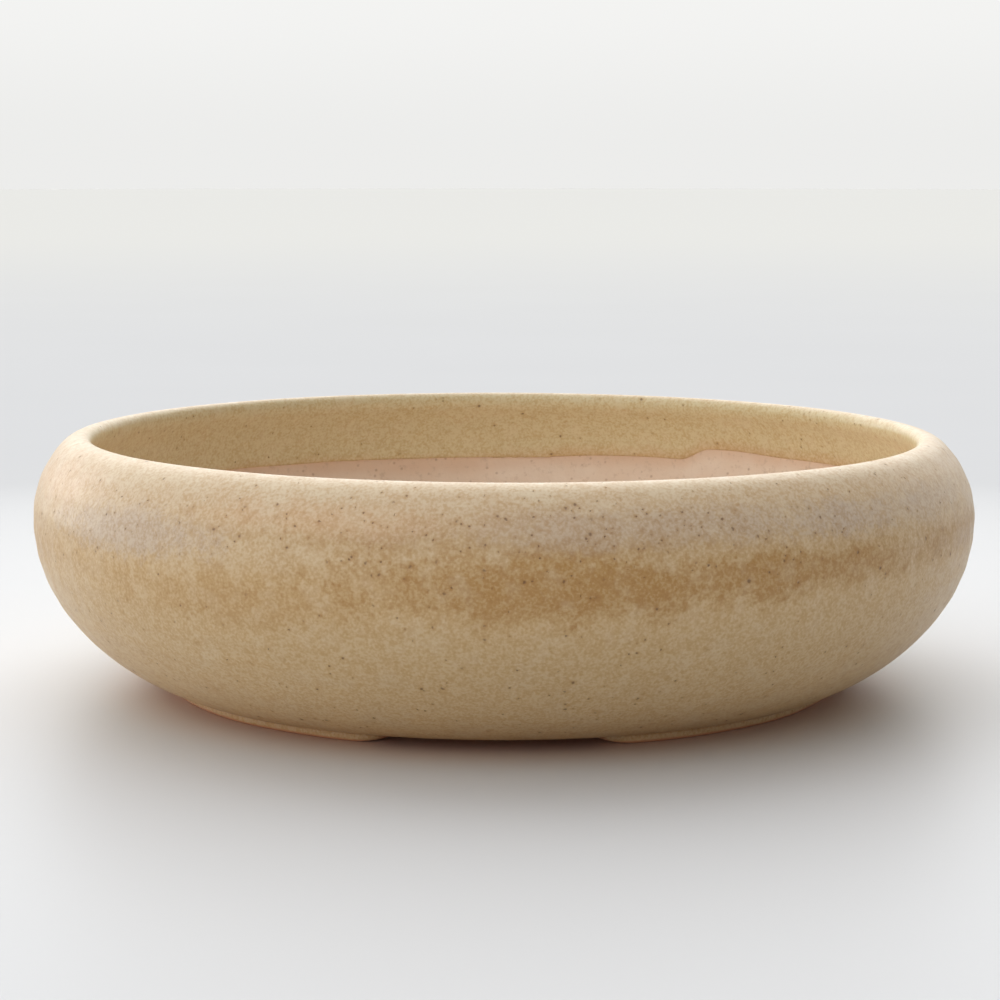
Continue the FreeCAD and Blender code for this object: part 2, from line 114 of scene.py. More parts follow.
def makePiece(name, points, faces, material, node, attributes=None):
    # a piece of the pot, which stands for a CAD node
    piece = makeObject(name, points, faces, material, attributes)
    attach(piece, "root")
    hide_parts(node)


pot = {
    "halfWidth": cadBox[1][0] / mm,
    "height": cadBox[1][2] / mm,
    "widest": 29.6,  # height of the widest point, and of the glaze line inside
    "rimTurnIn": 9.85,
    "baseInset": 21.6,
    "baseRise": footBox[1][2],
    "bellyRadius": 26.0,
    "bellyTurn": 36.5,  # degrees of the belly's arc below the widest point
    "lipRadius": 5.0,
    "rimRadius": 1.5,
    "underLipRadius": 3.0,
    "wall": 5.6,
    "recess": 1.9,
    "ring": 10.5,  # breadth of the ring that the feet are pressed on
    "floor": 4.5,
    "floorFillet": 9.0,
    "glaze": 0.35,
}


def arc(middle, radius, start, stop, step=0.25):
    # points at radius from middle, from the start angle to the stop angle in degrees
    count = max(3, int(abs(math.radians(stop - start)) * radius / step))
    turn = np.radians(np.linspace(start, stop, count))
    return np.stack([middle[0] + radius * np.cos(turn), middle[1] + radius * np.sin(turn)], 1)


def angleTo(middle, point):
    return math.degrees(math.atan2(point[1] - middle[1], point[0] - middle[0]))


def wallLine(depth):
    # the wall's section at this depth under the finished glaze: belly, shoulder, lip, rim and hollow are
    # arcs that run smoothly into one another, from the base's edge outside to the floor inside
    p = pot
    half, rise = p["halfWidth"], p["widest"]
    belly = p["bellyRadius"] - depth
    bellyMiddle = (half - p["bellyRadius"], rise)
    turn = math.radians(p["bellyTurn"])
    low = (bellyMiddle[0] + belly * math.cos(turn), rise - belly * math.sin(turn))
    edge = (half - p["baseInset"] - 2 * depth, p["baseRise"])
    step = (edge[0] - low[0], edge[1] - low[1])
    lower = (step[0] ** 2 + step[1] ** 2) / (2 * (step[1] * math.sin(turn) - step[0] * math.cos(turn)))
    lowerMiddle = (low[0] - lower * math.cos(turn), low[1] + lower * math.sin(turn))

    lip, rim = p["lipRadius"] - depth, p["rimRadius"] - depth
    lipMiddle = (half - p["rimTurnIn"] + p["rimRadius"], p["height"] - p["lipRadius"])
    rimMiddle = (lipMiddle[0], p["height"] - p["rimRadius"])
    across, up = half - depth - lipMiddle[0], lipMiddle[1] - rise
    shoulder = (across**2 + up**2 - lip**2) / (2 * (across - lip))
    shoulderMiddle = (half - depth - shoulder, rise)
    meet = angleTo(shoulderMiddle, lipMiddle)

    under = p["underLipRadius"] - depth
    underMiddle = (rimMiddle[0] - rim + under, rimMiddle[1])
    inner = half - p["wall"] + depth
    across, up = underMiddle[0] - inner, underMiddle[1] - rise
    hollow = (across**2 + up**2 - under**2) / (2 * (under - across))
    hollowMiddle = (inner - hollow, rise)
    bend = angleTo(hollowMiddle, underMiddle)

    outside = [
        arc(lowerMiddle, lower, angleTo(lowerMiddle, edge), -p["bellyTurn"]),
        arc(bellyMiddle, belly, -p["bellyTurn"], 0),
        arc(shoulderMiddle, shoulder, 0, meet),
        arc(lipMiddle, lip, meet, 90, 0.12),
    ]
    inside = [
        arc(rimMiddle, rim, 90, 180, 0.12),
        arc(underMiddle, under, 180, 180 + bend, 0.12),
        arc(hollowMiddle, hollow, bend, 0),
    ]
    clay = p["wall"] - 2 * p["glaze"]
    innerLower = lower - clay - (p["glaze"] - depth)
    floor = p["baseRise"] + p["recess"] + p["floor"]
    up = floor + p["floorFillet"] - lowerMiddle[1]
    across = math.sqrt((innerLower - p["floorFillet"]) ** 2 - up**2)
    leave = math.degrees(math.atan2(up, across))
    below = [
        arc(bellyMiddle, belly - clay - (p["glaze"] - depth), 0, -p["bellyTurn"]),
        arc(lowerMiddle, innerLower, -p["bellyTurn"], leave),
        arc((lowerMiddle[0] + across, floor + p["floorFillet"]), p["floorFillet"], leave, -90),
    ]
    return np.concatenate(outside), np.concatenate(inside), np.concatenate(below)


def evenly(line, count):
    # count points at equal steps along the line
    steps = np.hypot(*np.diff(line, axis=0).T)
    run = np.concatenate([[0], np.cumsum(steps)])
    keep = np.concatenate([[True], steps > 1e-9])
    run, line = run[keep], line[keep]
    at = np.linspace(0, run[-1], count)
    return np.stack([np.interp(at, run, line[:, 0]), np.interp(at, run, line[:, 1])], 1)


hand = {
    "oval": 0.10,  # mm that the mouth is out of round
    "rimDrop": 0.22,  # mm that the rim dips to one side
    "throwing": 0.035,  # height of the finger ridges
    "throwingPitch": 4.3,
}


def handmade(r, z, turn):
    # how the thrown clay leaves the true section: slow waves round the pot that grow with height and never
    # push outwards, a rim that dips towards +X, and a ridge that winds up the wall. turn is from the front.
    high = smoothStep(z, 2, 40)
    out = -1.1 * hand["oval"] + hand["oval"] * (0.7 * np.cos(2 * turn - 1.3) + 0.3 * np.cos(3 * turn + 0.5))
    ridge = np.sin(2 * np.pi * z / hand["throwingPitch"] + turn) - 1
    out = out * high + hand["throwing"] * ridge * smoothStep(z, 8, 16)
    down = -hand["rimDrop"] * (1 + np.sin(turn)) * smoothStep(z, 24, 43)
    return r + out, z + down


def around(count):
    return np.linspace(0, 2 * np.pi, count, endpoint=False)


def place(r, z, turn):
    # a point at distance r from the axis, turned from the front (-Y) towards +X
    return np.stack([r * np.sin(turn), -r * np.cos(turn), z], -1)


def slowWaves(turn, run, size):
    # a sum of a few waves that close round the pot, between -1 and 1
    total = np.sin(3 * turn + run / size) + np.sin(5 * turn - 1.3 * run / size + 1)
    return (total + np.sin(8 * turn + 1.9 * run / size + 4) + np.sin(13 * turn - 2.6 * run / size + 2)) / 4


def linear(r, g, b):
    # an sRGB colour, 0 to 255, as scene-linear values
    c = np.array([r, g, b]) / 255
    c = np.where(c <= 0.04045, c / 12.92, ((c + 0.055) / 1.055) ** 2.4)
    return (*c.tolist(), 1.0)


class Graph:
    # the nodes of a material or of the sky, made and joined by short calls

    def __init__(self, owner):
        self.owner = owner
        owner.use_nodes = True
        self.tree = owner.node_tree
        self.tree.nodes.clear()
        sky = isinstance(owner, bpy.types.World)
        self.place = self.add("ShaderNodeTexCoord").outputs["Generated" if sky else "Object"]
        self.shader = self.add("ShaderNodeBackground" if sky else "ShaderNodeBsdfPrincipled")
        output = self.add("ShaderNodeOutputWorld" if sky else "ShaderNodeOutputMaterial")
        self.tree.links.new(self.shader.outputs[0], output.inputs["Surface"])

    def add(self, kind, **settings):
        node = self.tree.nodes.new(kind)
        for key, value in settings.items():
            setattr(node, key, value)
        return node

    def feed(self, socket, value):
        if isinstance(value, bpy.types.NodeSocket):
            self.tree.links.new(value, socket)
        else:
            socket.default_value = value

    def math(self, operation, a, b=0.0):
        node = self.add("ShaderNodeMath", operation=operation)
        self.feed(node.inputs[0], a)
        self.feed(node.inputs[1], b)
        return node.outputs[0]

    def between(self, value, low, high, first=0.0, last=1.0):
        # value carried smoothly from low..high to first..last
        node = self.add("ShaderNodeMapRange", interpolation_type="SMOOTHSTEP")
        keys = ("Value", "From Min", "From Max", "To Min", "To Max")
        for key, number in zip(keys, (value, low, high, first, last)):
            self.feed(node.inputs[key], number)
        return node.outputs[0]

    def swing(self, value, reach):
        # a value from 0 to 1 as a swing of half this reach to either side of 0
        return self.math("MULTIPLY", self.math("SUBTRACT", value, 0.5), reach)

    def noise(self, size, detail=2.0, rough=0.5):
        # noise with lumps of about this size in millimetres
        node = self.add("ShaderNodeTexNoise")
        values = {"Vector": self.place, "Scale": 1 / (size * mm), "Detail": detail, "Roughness": rough}
        for key, value in values.items():
            self.feed(node.inputs[key], value)
        return node.outputs["Fac"]

    def shaken(self, size, reach):
        # the place, moved about by up to this reach in millimetres, in lumps of this size
        noise = self.add("ShaderNodeTexNoise")
        self.feed(noise.inputs["Vector"], self.place)
        self.feed(noise.inputs["Scale"], 1 / (size * mm))
        moved = self.add("ShaderNodeVectorMath", operation="MULTIPLY_ADD")
        for socket, value in zip(moved.inputs, (noise.outputs["Color"], (reach * mm,) * 3, self.place)):
            self.feed(socket, value)
        return moved.outputs[0]

    def cells(self, size, at=None):
        # cells this many millimetres apart: the distance to the nearest middle, and that cell's own tint
        node = self.add("ShaderNodeTexVoronoi")
        self.feed(node.inputs["Vector"], self.place if at is None else at)
        self.feed(node.inputs["Scale"], 1 / (size * mm))
        return node.outputs["Distance"], node.outputs["Color"]

    def chance(self, tint):
        # a cell's tint as an even chance from 0 to 1
        node = self.add("ShaderNodeSeparateColor")
        self.feed(node.inputs[0], tint)
        return node.outputs[0]

    def mix(self, share, first, second, blend="MIX"):
        node = self.add("ShaderNodeMix", data_type="RGBA", blend_type=blend)
        self.feed(node.inputs[0], share)
        self.feed(node.inputs[6], first)
        self.feed(node.inputs[7], second)
        return node.outputs[2]

    def ramp(self, value, stops):
        # colours at places from 0 to 1
        node = self.add("ShaderNodeValToRGB")
        bar = node.color_ramp
        bar.interpolation = "EASE"
        while len(bar.elements) < len(stops):
            bar.elements.new(0.5)
        for element, (spot, colour) in zip(bar.elements, stops):
            element.position, element.color = spot, colour
        self.feed(node.inputs[0], value)
        return node.outputs[0]

    def attribute(self, name):
        return self.add("ShaderNodeAttribute", attribute_name=name).outputs["Fac"]

    def bump(self, height, distance):
        # relief this many millimetres deep
        node = self.add("ShaderNodeBump")
        self.feed(node.inputs["Height"], height)
        self.feed(node.inputs["Distance"], distance * mm)
        return node.outputs[0]

    def finish(self, **sockets):
        # fills in the shader's sockets by name
        for key, value in sockets.items():
            self.feed(self.shader.inputs[key.replace("_", " ")], value)
        return self.owner


def newMaterial(name):
    return Graph(bpy.data.materials.new(name))


glazeLook = {
    # painted bounce light: the foot and lowBelly tones are lighter than the belly, standing in for light
    # thrown up from the floor onto the lowest belly
    "foot": linear(230, 198, 148),
    "lowBelly": linear(224, 194, 148),
    "belly": linear(216, 187, 142),
    "shoulderLow": linear(216, 185, 138),
    "shoulder": linear(218, 191, 152),
    "upper": linear(220, 196, 164),
    "rim": linear(224, 204, 174),
    "ochre": linear(190, 148, 88),
    # painted sheen: a cool pale lilac reflection painted on the shoulder
    "paintedSheenLilac": linear(208, 192, 180),
    "peach": linear(222, 186, 146),
    "pinhole": linear(112, 80, 50),
    "thin": linear(228, 206, 172),
    "thick": linear(234, 216, 186),
    # spacing in millimetres, radius as a share of it, and the share of places left empty
    "pinholes": ((1.15, 0.12, 0.88), (1.9, 0.115, 0.92), (3.2, 0.085, 0.88)),
    # painted light and shade: the same glaze, given its own lighter, yellower tone inside the mouth to stand
    # in for the light on the inner wall
    "inside": linear(222, 208, 168),
    "insideEdge": linear(208, 166, 122),
    "bareEdge": linear(222, 164, 122),
    # soft patches: the middle and the reach, both as (degrees from the front, height), the tone, its share
    "patches": (
        ((6, 28.6), (34, 7.0), "ochre", 0.9),
        ((36, 29), (34, 5.0), "ochre", 0.85),
        ((66, 30), (26, 4.2), "ochre", 0.7),
        ((2, 35.5), (44, 5.5), "ochre", 0.5),
        ((-28, 25), (26, 6), "ochre", 0.35),
        ((-100, 27), (60, 5), "ochre", 0.4),
        ((140, 27), (50, 6), "ochre", 0.5),
        # the lilac patches are painted sheen on the shoulder
        ((-45, 33.5), (20, 5), "paintedSheenLilac", 0.6),
        ((20, 36.5), (46, 4.0), "paintedSheenLilac", 0.45),
        ((54, 36), (30, 4), "paintedSheenLilac", 0.4),
        ((-66, 38), (20, 5), "peach", 0.5),
        ((-16, 37.5), (22, 3.5), "peach", 0.55),
    ),
    "crowded": ((2, 35.5), (62, 9)),  # where the pinholes crowd, as the patches are given
    "wiped": ((0.3, 0.62), (54.5, 56.0)),  # heights and radii over which a foot's glaze begins
}


def turned(g):
    # the angle from the front towards +X in degrees, the height, and the distance from the axis
    split = g.add("ShaderNodeSeparateXYZ")
    g.feed(split.inputs[0], g.place)
    x, y, z = split.outputs
    turn = g.math("MULTIPLY", g.math("ARCTAN2", x, g.math("MULTIPLY", y, -1.0)), 180 / math.pi)
    radius = g.math("SQRT", g.math("ADD", g.math("MULTIPLY", x, x), g.math("MULTIPLY", y, y)))
    return turn, g.math("DIVIDE", z, mm), g.math("DIVIDE", radius, mm)


def patch(g, turn, height, where, reach, wobble):
    # 1 at the middle of a soft patch, falling to 0 at its reach: where and reach are (degrees, millimetres)
    a = g.math("DIVIDE", g.math("SUBTRACT", turn, where[0]), reach[0])
    b = g.math("DIVIDE", g.math("SUBTRACT", height, where[1]), reach[1])
    away = g.math("SQRT", g.math("ADD", g.math("MULTIPLY", a, a), g.math("MULTIPLY", b, b)))
    return g.between(g.math("ADD", away, wobble), 1.0, 0.15)


def glazeTone(g, turn, height, small, wobble):
    # bands of tone by height, at a wavering level, and the soft patches over them; the bands grow lighter
    # again towards the foot as painted bounce light from the floor, and the lilac patches are painted sheen
    look = glazeLook
    shift = g.math("ADD", g.swing(g.noise(26, 3, 0.55), 9.0), g.swing(small, 4.0))
    level = g.math("DIVIDE", g.math("ADD", height, shift), pot["height"])
    colour = g.ramp(level, [
        (0.02, look["foot"]), (0.14, look["lowBelly"]), (0.45, look["belly"]), (0.62, look["shoulderLow"]),
        (0.78, look["shoulder"]), (0.92, look["upper"]), (1.0, look["rim"]),
    ])
    for middle, reach, tone, share in look["patches"]:
        mask = g.math("MULTIPLY", patch(g, turn, height, middle, reach, wobble), share)
        colour = g.mix(mask, colour, look[tone])
    return colour


def mouthTone(g, colour, small):
    # inside the mouth the glaze gets its own lighter, yellower tone, painted light and shade on the inner
    # wall, and is browner where it thins out at its edge
    inside = g.attribute("inside")
    colour = g.mix(inside, colour, glazeLook["inside"])
    edge = g.math("ADD", g.attribute("fromEdge"), g.swing(small, 2.5))
    thin = g.math("MULTIPLY", g.between(edge, 3.2, 0.2), inside)
    return g.mix(g.math("MULTIPLY", thin, 0.5), colour, glazeLook["insideEdge"])


def grainTone(g, colour, loose):
    # fine grains, ochre where the glaze is thin and pale where it is thick
    grain = g.noise(0.45, 1, 0.5)
    clump = g.noise(1.4, 2, 0.5)
    mottle = g.math("ADD", g.math("MULTIPLY", grain, 0.52), g.math("MULTIPLY", clump, 0.34))
    mottle = g.math("ADD", mottle, g.math("MULTIPLY", g.cells(0.5, loose)[1], 0.14))
    thinner = g.mix(1.0, colour, glazeLook["thin"], "MULTIPLY")
    colour = g.mix(g.between(mottle, 0.40, 0.66, 0.08, 0.62), colour, thinner)
    colour = g.mix(g.between(mottle, 0.5, 0.38, 0.0, 0.12), colour, glazeLook["thick"])
    haze = g.between(g.noise(4.5, 3, 0.6), 0.5, 0.68, 0.0, 0.16)
    colour = g.mix(haze, colour, glazeLook["thick"])
    return colour, g.math("ADD", g.math("MULTIPLY", clump, 0.5), g.math("MULTIPLY", grain, 0.35))


def pinholeTone(g, colour, loose, busy):
    # dark pinholes in ochre rings, in some of the cells and in more of them where it is busy
    holes = rings = None
    for size, reach, few in glazeLook["pinholes"]:
        distance, tint = g.cells(size, loose)
        wanted = g.math("GREATER_THAN", g.math("ADD", g.chance(tint), g.math("MULTIPLY", busy, 0.45)), few)
        hole = g.math("MULTIPLY", g.between(distance, reach * 1.5, reach * 0.4), wanted)
        ring = g.math("MULTIPLY", g.between(distance, reach * 4.0, reach), wanted)
        holes = hole if holes is None else g.math("MAXIMUM", holes, hole)
        rings = ring if rings is None else g.math("MAXIMUM", rings, ring)
    thinner = g.mix(1.0, colour, glazeLook["thin"], "MULTIPLY")
    colour = g.mix(g.math("MULTIPLY", rings, 0.4), colour, thinner)
    return g.mix(g.math("MULTIPLY", holes, 0.7), colour, glazeLook["pinhole"]), holes


def glazeFinish(name, wipedOff):
    g = newMaterial(name)
    look = glazeLook
    turn, height, radius = turned(g)
    small = g.noise(6.5, 3, 0.6)
    wobble = g.math("ADD", g.swing(g.noise(9, 3, 0.6), 1.1), g.swing(g.noise(1.1, 2, 0.6), 0.9))
    loose = g.shaken(0.55, 0.45)
    colour = glazeTone(g, turn, height, small, wobble)
    colour = mouthTone(g, colour, small)
    colour, relief = grainTone(g, colour, loose)
    colour, holes = pinholeTone(g, colour, loose, patch(g, turn, height, *look["crowded"], wobble))
    if wipedOff:
        # a foot is wiped clean underneath and inside, and along its lower edge
        heights, radii = look["wiped"]
        wiped = g.math("ADD", height, g.swing(small, 0.5))
        glazed = g.math("MULTIPLY", g.between(wiped, *heights), g.between(radius, *radii))
        colour = g.mix(glazed, look["bareEdge"], colour)
    relief = g.math("SUBTRACT", relief, g.math("MULTIPLY", holes, 0.9))
    relief = g.math("ADD", relief, g.math("MULTIPLY", g.noise(7, 2, 0.5), 0.8))
    rough = g.between(g.noise(3, 3, 0.6), 0.3, 0.7, 0.33, 0.45)
    return g.finish(Base_Color=colour, Roughness=rough, Normal=g.bump(relief, 0.09), IOR=1.5)


clayLook = {
    "body": linear(232, 209, 188),
    "pale": linear(240, 223, 206),
    "flash": linear(214, 166, 128),
    "under": linear(224, 160, 114),
    "grog": linear(150, 112, 84),
    "worn": linear(186, 158, 132),
    "rings": {"Scale": 95.0, "Distortion": 1.6, "Detail": 2.0, "Detail Scale": 1.2},  # of the potter's wheel
}


def clayFinish():
    g = newMaterial("firedClay")
    look = clayLook
    height = turned(g)[1]
    cloud = g.noise(22, 4, 0.6)
    colour = g.mix(g.between(cloud, 0.35, 0.65), look["body"], look["pale"])
    flash = g.math("MULTIPLY", g.between(g.attribute("fromGlaze"), 3.0, 0.2), 0.3)
    colour = g.mix(flash, colour, look["flash"])
    under = g.math("MULTIPLY", g.between(height, 6.5, 4.5), g.between(cloud, 0.25, 0.6, 0.7, 1.0))
    colour = g.mix(under, colour, look["under"])
    colour = g.mix(g.between(g.noise(1.3, 3, 0.65), 0.52, 0.75, 0.0, 0.35), colour, look["worn"])
    distance, tint = g.cells(1.7)
    grog = g.math("MULTIPLY", g.between(distance, 0.24, 0.05), g.math("GREATER_THAN", g.chance(tint), 0.6))
    colour = g.mix(g.math("MULTIPLY", grog, 0.4), colour, look["grog"])
    rings = g.add("ShaderNodeTexWave", wave_type="RINGS", rings_direction="Z", wave_profile="SIN")
    g.feed(rings.inputs["Vector"], g.place)
    for key, number in look["rings"].items():
        g.feed(rings.inputs[key], number)
    relief = g.math("ADD", g.math("MULTIPLY", g.noise(0.8, 3, 0.6), 0.5), g.math("MULTIPLY", grog, 0.4))
    relief = g.math("ADD", relief, g.math("MULTIPLY", rings.outputs["Fac"], 0.35))
    rough = g.between(cloud, 0.3, 0.7, 0.78, 0.9)
    return g.finish(Base_Color=colour, Roughness=rough, Normal=g.bump(relief, 0.14))


def netFinish():
    g = newMaterial("blackNet")
    worn = g.noise(1.4, 3, 0.6)
    colour = g.mix(g.between(worn, 0.4, 0.7), linear(26, 26, 28), linear(48, 47, 46))
    dust = g.between(g.noise(5, 4, 0.7), 0.55, 0.75, 0.0, 0.3)
    colour = g.mix(dust, colour, linear(120, 104, 86))
    relief = g.noise(0.35, 2, 0.5)
    rough = g.between(worn, 0.3, 0.7, 0.42, 0.62)
    return g.finish(Base_Color=colour, Roughness=rough, Normal=g.bump(relief, 0.03))


def wireFinish():
    g = newMaterial("brownWire")
    wear = g.noise(2.2, 4, 0.7)
    colour = g.mix(g.between(wear, 0.42, 0.62), linear(122, 82, 56), linear(150, 106, 76))
    bare = g.between(g.noise(0.7, 3, 0.7), 0.66, 0.74, 0.0, 0.7)
    colour = g.mix(bare, colour, linear(196, 186, 176))
    relief = g.noise(0.5, 2, 0.5)
    rough = g.between(wear, 0.3, 0.7, 0.34, 0.5)
    return g.finish(Base_Color=colour, Roughness=rough, Metallic=0.85, Normal=g.bump(relief, 0.02))


glazeMaterial = glazeFinish("satinGlaze", False)
footMaterial = glazeFinish("footGlaze", True)
clayMaterial = clayFinish()
netMaterial = netFinish()
wireMaterial = wireFinish()
print("materials ready")


coat = {
    "around": 600,
    "outsideRows": 82,
    "insideRows": 34,
    "backRows": 30,
    "mouthRows": 16,
    "edge": 28.6,  # height of the lower edge inside the mouth at the back left
    "roll": 0.7,  # how far the rounded edges reach
    "tuck": 0.02,  # how far the edge dips under the clay's face
    "waves": 0.05,  # depth of the slow waves
    # turn from the front, height, radius and depth of marks that stand out
    "marks": (
        (22, 37.3, 0.45, 0.16),
        (47, 39.4, 1.3, 0.12),
        (41.5, 42.0, 1.0, 0.10),
        (-18.7, 5.9, 1.1, 0.05),
    ),
    "dimples": 46,
    "dimpleRanges": ((-180, 180), (12, 41), (0.6, 1.6), (0.03, 0.11)),  # of the same four values
}


def glazeEdge(turn):
    # height of the glaze's edge inside the mouth: level at the back left, with two steps up towards +X, a
    # slow fall to the front, and small ripples
    back = np.degrees(np.angle(np.exp(1j * (np.pi - turn))))
    edge = coat["edge"] + 1.5 * smoothStep(back, -2, 14) + 2.2 * smoothStep(back, 26, 31)
    edge = edge - 3.7 * smoothStep(back, 135, 175)
    a = np.radians(back)
    return edge + 0.25 * np.sin(5 * a) + 0.15 * np.sin(11 * a + 1) + 0.1 * np.sin(23 * a)


def alongLine(line):
    # the run of a line, with its points and its normals, which point to the right of its way
    steps = np.diff(line, axis=0)
    keep = np.concatenate([[True], np.hypot(*steps.T) > 1e-6])
    line = line[keep]
    steps = np.gradient(line, axis=0)
    steps /= np.hypot(*steps.T)[:, None]
    run = np.concatenate([[0], np.cumsum(np.hypot(*np.diff(line, axis=0).T))])
    return run, line, np.stack([steps[:, 1], -steps[:, 0]], 1)


def onLine(way, at):
    # points and normals of a line at these runs
    run, line, normal = way
    return [np.interp(at, run, part) for part in (line[:, 0], line[:, 1], normal[:, 0], normal[:, 1])]


def sunken(turns, front, r, z, nr, outer):
    # how far the glaze's face is sunk: slow waves, and outside the rim marks and dimples too, as bells of
    # exp(-1.5 (d / radius)^2)
    sunk = coat["waves"] * (0.5 + 0.5 * slowWaves(turns, front, 7.0))
    rng = np.random.default_rng(7)
    dimples = zip(*(rng.uniform(low, high, coat["dimples"]) for low, high in coat["dimpleRanges"]))
    for where, height, wide, deep in [*coat["marks"], *dimples]:
        away = np.angle(np.exp(1j * (turns - math.radians(where)))) * r
        upward = (z - height) / np.maximum(np.abs(nr), 0.35)
        sunk = sunk + deep * np.exp(-1.5 * (away**2 + upward**2) / wide**2) * outer
    return sunk


def makeGlaze():
    # a closed skin: a front that rolls over at both edges, and a back that lies just under the clay's face
    outside, inside, below = wallLine(0.0)
    way = alongLine(np.concatenate([outside, inside, below]))
    rimRun = alongLine(outside)[0][-1]
    turn = around(coat["around"])
    late = way[0] > rimRun
    edgeRun = np.interp(-glazeEdge(turn), -way[1][late, 1], way[0][late])

    # rows crowd together towards the two rolled edges
    level = np.ones(len(turn))
    low = rimRun * np.linspace(0, 1, coat["outsideRows"])[:, None] ** 1.25
    part = 1 - (1 - np.linspace(0, 1, coat["insideRows"] + 1)[1:, None]) ** 1.7
    front = np.concatenate([low * level, rimRun + part * (edgeRun - rimRun)])
    early = rimRun * np.linspace(1, 0, coat["backRows"])[1:-1, None]
    rise = np.linspace(0, 1, coat["mouthRows"])[1:, None]
    back = np.concatenate([edgeRun + rise * (rimRun - edgeRun), early * level])

    turns = np.broadcast_to(turn, front.shape)
    r, z, nr, nz = onLine(way, front)
    fromEdge = np.minimum(front, edgeRun - front)
    rolled = np.sqrt(1 - (1 - np.clip(fromEdge / coat["roll"], 0, 1)) ** 2)
    full = pot["glaze"] + coat["tuck"]
    sunk = sunken(turns, front, r, z, nr, front < rimRun)
    depth = full - (full - sunk) * rolled
    frontR, frontZ = handmade(r - depth * nr, z - depth * nz, turns)
    turnsBack = np.broadcast_to(turn, back.shape)
    r, z, nr, nz = onLine(way, back)
    backR, backZ = handmade(r - full * nr, z - full * nz, turnsBack)
    points = np.concatenate([place(frontR, frontZ, turns), place(backR, backZ, turnsBack)])
    labels = {
        "inside": np.concatenate([smoothStep(front, rimRun - 0.2, rimRun + 2.0), np.ones(back.shape)]),
        "fromEdge": np.concatenate([edgeRun - front, np.zeros(back.shape)]),
    }
    faces = gridFaces(len(points), len(turn), True, True)
    makePiece("glaze", points.reshape(-1, 3), faces, glazeMaterial, "glaze_coat", labels)


clay = {
    "around": 360,
    "insideRows": 80,
    "lipRows": 24,
    "outsideRows": 36,
    "underRows": 44,
    "floorReach": 44.0,  # radius where the wall's grid meets the floor's three sectors
    "spokes": 36,
    "floorRows": 24,
    "ceilingRows": 8,
    "cornerRows": 6,
    "drainCircle": -(screenBox[0][1] + screenBox[1][1]) / 2,
    "drainRadius": 7.0,
    "drainRounding": 0.55,
    "ringRounding": 0.5,  # of the base ring's inner edge
    "recessRounding": 0.6,  # where the ring's inner face meets the recess
    "ridges": 0.11,  # depth of the finger ridges
    "ridgePitch": 5.6,
    "toolMarks": 0.07,  # depth of the trimming marks under the base
    "toolPitch": 2.6,
    "swellings": 0.12,
    "farFromGlaze": 40.0,
}


def floorFace(x, y):
    # the thrown floor: a shallow spiral ridge that dies out at the middle, always at or under the true level
    r, turn = np.hypot(x, y), np.arctan2(x, -y)
    wave = 0.5 + 0.5 * np.sin(2 * np.pi * r / clay["ridgePitch"] + turn)
    return -clay["ridges"] * wave * smoothStep(r, 2, 12)


def undersideFace(x, y):
    # tool marks in the trimmed recess, always at or above the true level
    r, turn = np.hypot(x, y), np.arctan2(x, -y)
    wave = 0.5 + 0.5 * np.sin(2 * np.pi * r / clay["toolPitch"] - turn)
    return clay["toolMarks"] * wave * smoothStep(r, 2, 10) * (1 - smoothStep(r, 44, 46))


def floorLevels():
    # heights of the top of the floor and of the recess under it
    ceiling = pot["baseRise"] + pot["recess"]
    return ceiling + pot["floor"], ceiling


def claySection():
    # the bowl's section in three stretches: from the floor up to the lip, over the lip and down the outside,
    # and in under the base
    c, rise, reach = clay, pot["baseRise"], clay["floorReach"]
    floorTop, ceiling = floorLevels()
    outside, inside, below = wallLine(pot["glaze"])
    edge, hollow = c["ringRounding"], c["recessRounding"]
    ring = pot["halfWidth"] - pot["baseInset"] - 2 * pot["glaze"] - pot["ring"]
    up = alongLine(np.concatenate([[(reach, floorTop)], below[::-1]]))
    over = alongLine(np.concatenate([inside[::-1], outside[::-1]]))
    under = np.concatenate([
        [outside[0]],
        arc((ring + edge, rise + edge), edge, 270, 180, 0.1),
        arc((ring - hollow, ceiling - hollow), hollow, 0, 90, 0.1),
        [(reach, ceiling)],
    ])
    under = alongLine(evenly(under, c["underRows"]))
    lip = alongLine(inside)[0][-1]
    upRun = np.linspace(0, up[0][-1], c["insideRows"])
    overRun = np.linspace(lip, over[0][-1], c["outsideRows"])[1:-1]
    overRun = np.concatenate([np.linspace(0, lip, c["lipRows"])[1:], overRun])
    underRun = np.linspace(0, under[0][-1], c["underRows"])
    rows = zip(onLine(up, upRun), onLine(over, overRun), onLine(under, underRun))
    run = np.concatenate([upRun, upRun[-1] + overRun, np.zeros(c["underRows"])])
    return [run[:, None]] + [np.concatenate(row)[:, None] for row in rows]


